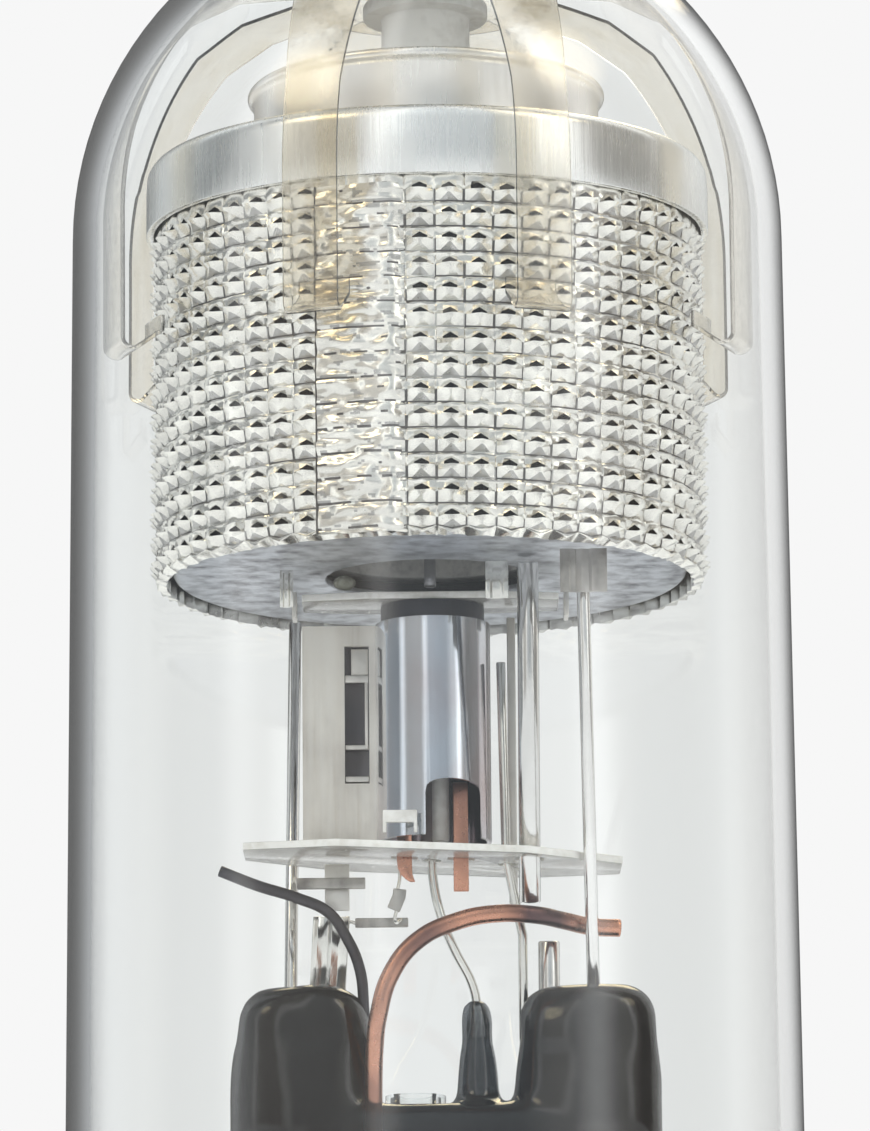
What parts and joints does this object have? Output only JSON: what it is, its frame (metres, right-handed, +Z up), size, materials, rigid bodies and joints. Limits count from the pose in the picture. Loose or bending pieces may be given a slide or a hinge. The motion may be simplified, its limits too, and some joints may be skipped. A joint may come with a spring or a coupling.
{
  "type": "vacuum tube",
  "caption": "Glass vacuum tube: an embossed cylindrical can with a collar and small upper can inside a domed bulb, on a pinned metal base, with a top cap.",
  "frame": {"origin": "on the tube's axis, in the plane of the four pin tips", "axes": "+Z up the tube's axis to the top cap; the front that the picture shows faces -Y"},
  "size_m": [0.039, 0.039, 0.1514],
  "materials": {
    "clear_glass": "clear blown glass",
    "tube_glass": "clear drawn glass",
    "stem_glass": "smoky pressed glass",
    "embossed_nickel": "embossed bright sheet",
    "drawn_nickel": "drawn, with fine vertical lines",
    "upper_nickel": "drawn sheet",
    "floor_nickel": "pressed sheet",
    "reservoir_steel": "rolled bright sheet",
    "nickel_rod": "drawn rod",
    "nickel_wire": "drawn wire",
    "nickel_strip": "cut strip",
    "oxidised_wire": "dark oxidised wire",
    "copper": "copper, dull",
    "mica_plate": "cleaved mica, cloudy",
    "mica_leaf": "clear brownish mica",
    "white_ceramic": "unglazed white ceramic",
    "oxide_cathode": "matt oxide coating",
    "tungsten": "grey refractory metal",
    "phenolic": "moulded phenolic",
    "cement": "basing cement",
    "plated_brass": "dull plated",
    "cap_metal": "bright plated",
    "pin_brass": "tinned brass"
  },
  "bodies": {
    "root": {"base_shell": "plated_brass", "bayonet_pin": "pin_brass", "base_insert": "phenolic", "base_cement": "cement", "pin_1": "pin_brass", "pin_2": "pin_brass", "pin_3": "pin_brass", "pin_4": "pin_brass", "base_lead_1": "nickel_wire", "base_lead_2": "nickel_wire", "base_lead_3": "nickel_wire", "base_lead_4": "nickel_wire", "stem_glass": "stem_glass", "exhaust_tube": "tube_glass", "support_rod_left": "nickel_rod", "support_rod_right": "nickel_rod", "heater_rod": "nickel_wire", "lower_post": "nickel_rod", "cathode_post": "nickel_rod", "flat_strip": "nickel_strip", "heater_strap": "nickel_strip", "strap_link": "nickel_strip", "upper_bar": "nickel_strip", "lower_bar": "nickel_strip", "curled_tab": "nickel_strip", "dark_lead": "oxidised_wire", "thin_lead": "nickel_wire", "copper_lead": "copper", "copper_tab_left": "copper", "copper_tab_right": "copper", "lower_mica": "mica_plate", "upper_mica": "mica_plate", "mica_clip_left": "nickel_strip", "mica_clip_right": "nickel_strip", "mica_bead": "copper", "reservoir": "reservoir_steel", "ceramic_core": "white_ceramic", "reservoir_clip": "white_ceramic", "rod_bracket": "nickel_strip", "floor_tab_left": "nickel_strip", "floor_tab_middle": "copper", "drum_floor": "floor_nickel", "heat_shield": "floor_nickel", "cathode_cup": "oxide_cathode", "heater_coil": "tungsten", "grid_baffle": "floor_nickel", "embossed_drum": "embossed_nickel", "can_collar": "drawn_nickel", "upper_can": "upper_nickel", "anode": "tungsten", "anode_sleeve": "white_ceramic", "anode_lead": "tungsten", "mica_spring": "mica_leaf", "anode_cap": "cap_metal", "cap_cement": "cement", "glass_bulb": "clear_glass"}
  },
  "joints": []
}
